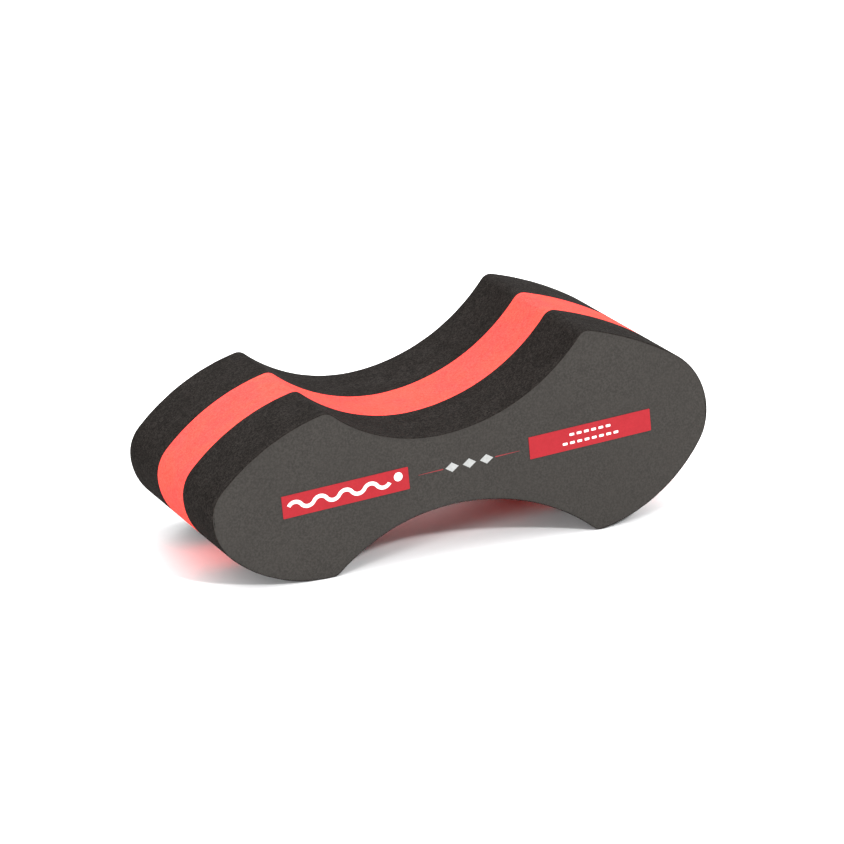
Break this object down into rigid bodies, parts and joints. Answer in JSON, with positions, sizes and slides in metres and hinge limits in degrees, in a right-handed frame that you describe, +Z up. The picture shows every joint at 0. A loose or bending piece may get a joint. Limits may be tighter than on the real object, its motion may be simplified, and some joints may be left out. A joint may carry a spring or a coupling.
{
  "type": "pull buoy",
  "caption": "Hourglass foam leg float for swim training, cut from laminated foam sheets, with a printed front face.",
  "frame": {"origin": "on the deck under the middle of the float, as it stands on the two lower corners of its waist", "axes": "+X along the length towards the large lobe, +Y from the printed front face to the rear face, +Z up"},
  "size_m": [0.286, 0.1243, 0.1128],
  "materials": {
    "black_foam": "matt closed-cell EVA foam, charcoal with fine pores",
    "coral_foam": "matt closed-cell EVA foam, coral with fine pores",
    "contact_adhesive": "dried contact adhesive",
    "red_film": "red heat-transfer film, satin",
    "white_ink": "white screen ink, satin",
    "silver_ink": "pale silver screen ink, satin",
    "red_ink": "red screen ink, thin"
  },
  "bodies": {
    "root": {"front_slab": "black_foam", "middle_slab": "coral_foam", "rear_slab": "black_foam", "front_glue_film": "contact_adhesive", "rear_glue_film": "contact_adhesive", "small_end_label": "red_film", "large_end_label": "red_film", "label_wave_print": "white_ink", "label_badge_print": "white_ink", "label_dash_print": "white_ink", "centre_mark_print": "silver_ink", "small_end_hairline": "red_ink", "large_end_hairline": "red_ink"}
  },
  "joints": []
}
